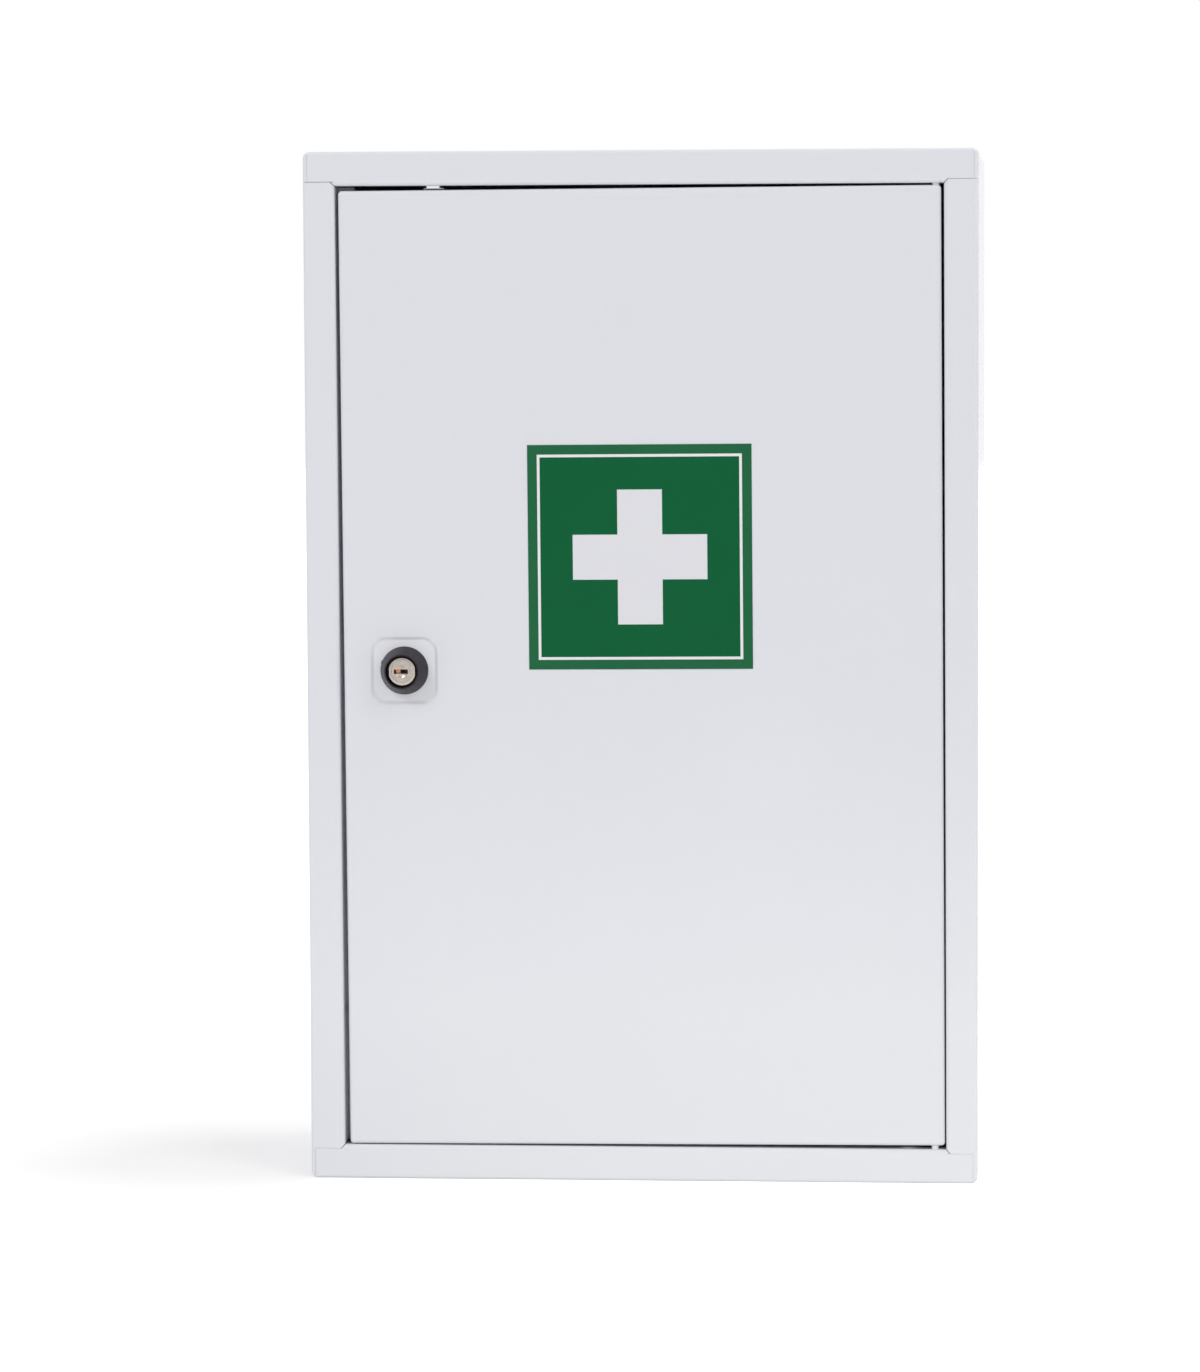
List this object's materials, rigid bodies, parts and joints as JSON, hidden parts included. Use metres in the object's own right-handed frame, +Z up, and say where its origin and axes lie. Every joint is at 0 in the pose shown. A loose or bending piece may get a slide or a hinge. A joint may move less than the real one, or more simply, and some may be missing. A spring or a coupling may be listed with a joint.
{
  "type": "lockable medicine cabinet",
  "caption": "Shallow sheet-steel wall cabinet with an inset door on pivot pins, a cam lock, a green first-aid sign, shelves and door trays.",
  "frame": {"origin": "middle of the cabinet's bottom face", "axes": "+Z up, the door faces -Y, +X to the right as seen from the front; the lock stands out past the front face"},
  "size_m": [0.3, 0.149, 0.46],
  "materials": {
    "body_paint": "fine powder coat, satin",
    "door_paint": "fine powder coat, satin",
    "sign_green": "printed self-adhesive film",
    "sign_white": "printed self-adhesive film",
    "rosette_plastic": "satin black moulding",
    "lock_nickel": "nickel-plated zinc",
    "tumbler_copper": "stamped",
    "zinc_steel": "zinc plated",
    "buffer_rubber": "soft grey"
  },
  "bodies": {
    "cabinet": {"cabinet_body": "body_paint", "back_panel": "body_paint", "upper_shelf": "body_paint", "lower_shelf": "body_paint", "upper_left_support": "body_paint", "upper_right_support": "body_paint", "lower_left_support": "body_paint", "lower_right_support": "body_paint", "upper_pivot_pin": "body_paint", "lower_pivot_pin": "body_paint", "upper_door_buffer": "buffer_rubber", "lower_door_buffer": "buffer_rubber", "rail_buffer": "sign_white"},
    "door": {"door_leaf": "door_paint", "upper_door_tray": "door_paint", "lower_door_tray": "door_paint", "sign_field": "sign_green", "sign_marks": "sign_white", "lock_rosette": "rosette_plastic", "lock_barrel": "lock_nickel", "lock_washer": "zinc_steel", "lock_nut": "zinc_steel"},
    "key_plug": {"lock_plug": "lock_nickel", "tumblers": "tumbler_copper", "tumbler_springs": "zinc_steel", "lock_cam": "zinc_steel", "cam_washer": "zinc_steel", "cam_screw": "zinc_steel"}
  },
  "joints": [
    {"name": "door_swing", "type": "hinge", "parent": "cabinet", "child": "door", "pos_m": [0.13098, -0.0665, 0.23], "axis": [0, 0, 1], "range_deg": [0, 110]},
    {"name": "lock_turn", "type": "hinge", "parent": "door", "child": "key_plug", "pos_m": [-0.10623, -0.06, 0.22921], "axis": [0, 1, 0], "range_deg": [0, 90]}
  ]
}
